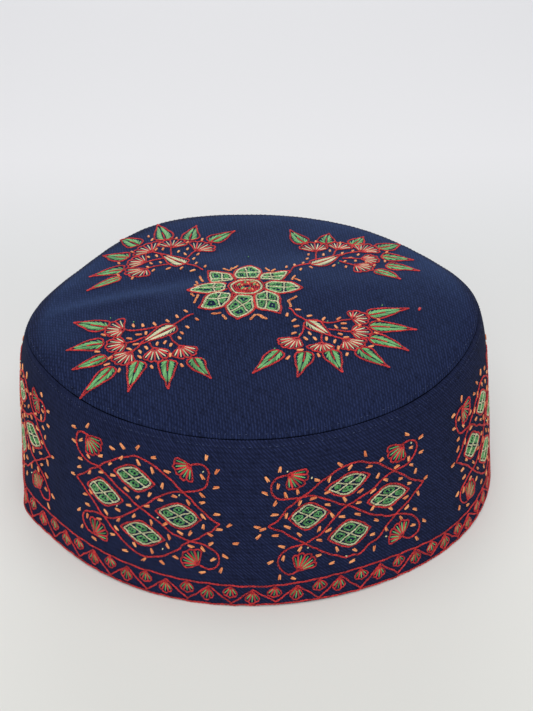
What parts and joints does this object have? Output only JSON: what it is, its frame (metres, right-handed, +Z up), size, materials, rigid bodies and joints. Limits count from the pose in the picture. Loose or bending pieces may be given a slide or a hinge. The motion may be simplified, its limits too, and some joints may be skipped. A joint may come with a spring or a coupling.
{
  "type": "kashmiri cap",
  "caption": "Round navy cotton cap with a low domed crown, a tall side band and coloured chain-stitch embroidery.",
  "frame": {"origin": "on the surface the cap stands on, in the middle of the rim", "axes": "+Z up through the crown, -Y the front, +X to the right as seen from the front"},
  "size_m": [0.1915, 0.182, 0.0755],
  "materials": {
    "navy_twill": "matt cotton twill",
    "red_thread": "chain-stitched silky cotton thread",
    "green_thread": "looped and satin-stitched thread",
    "cream_thread": "chain-stitched thread",
    "orange_thread": "short seed stitches"
  },
  "bodies": {
    "root": {"side_band": "navy_twill", "crown": "navy_twill"}
  },
  "joints": []
}
